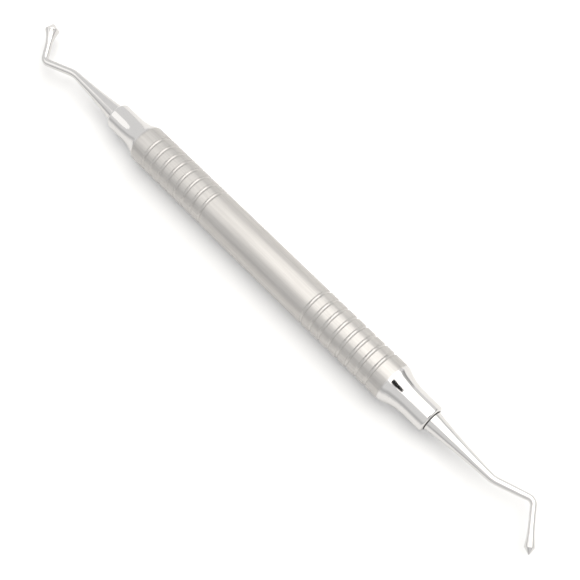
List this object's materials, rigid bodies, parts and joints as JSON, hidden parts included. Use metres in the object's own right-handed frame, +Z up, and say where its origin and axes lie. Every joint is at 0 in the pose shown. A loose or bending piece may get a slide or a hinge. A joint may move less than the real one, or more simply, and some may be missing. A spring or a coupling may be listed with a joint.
{
  "type": "dental burnisher",
  "caption": "Double-ended steel hand instrument: round ring-grooved hollow handle, slim tapered shanks bent to and fro, and a small and a large acorn-shaped smoothing tip.",
  "frame": {"origin": "level with the underside of the grip, under the middle of the handle", "axes": "+X along the handle towards the small working end, +Y level and square to the handle, so that both shanks bend in the level plane, +Z up"},
  "size_m": [0.1684, 0.0112, 0.0095],
  "materials": {
    "satin_steel": "satin stainless steel, polished at the necks and collars",
    "polished_steel": "polished stainless steel, not plated"
  },
  "bodies": {
    "root": {"handle": "satin_steel", "working_end_small": "polished_steel", "working_end_large": "polished_steel"}
  },
  "joints": []
}
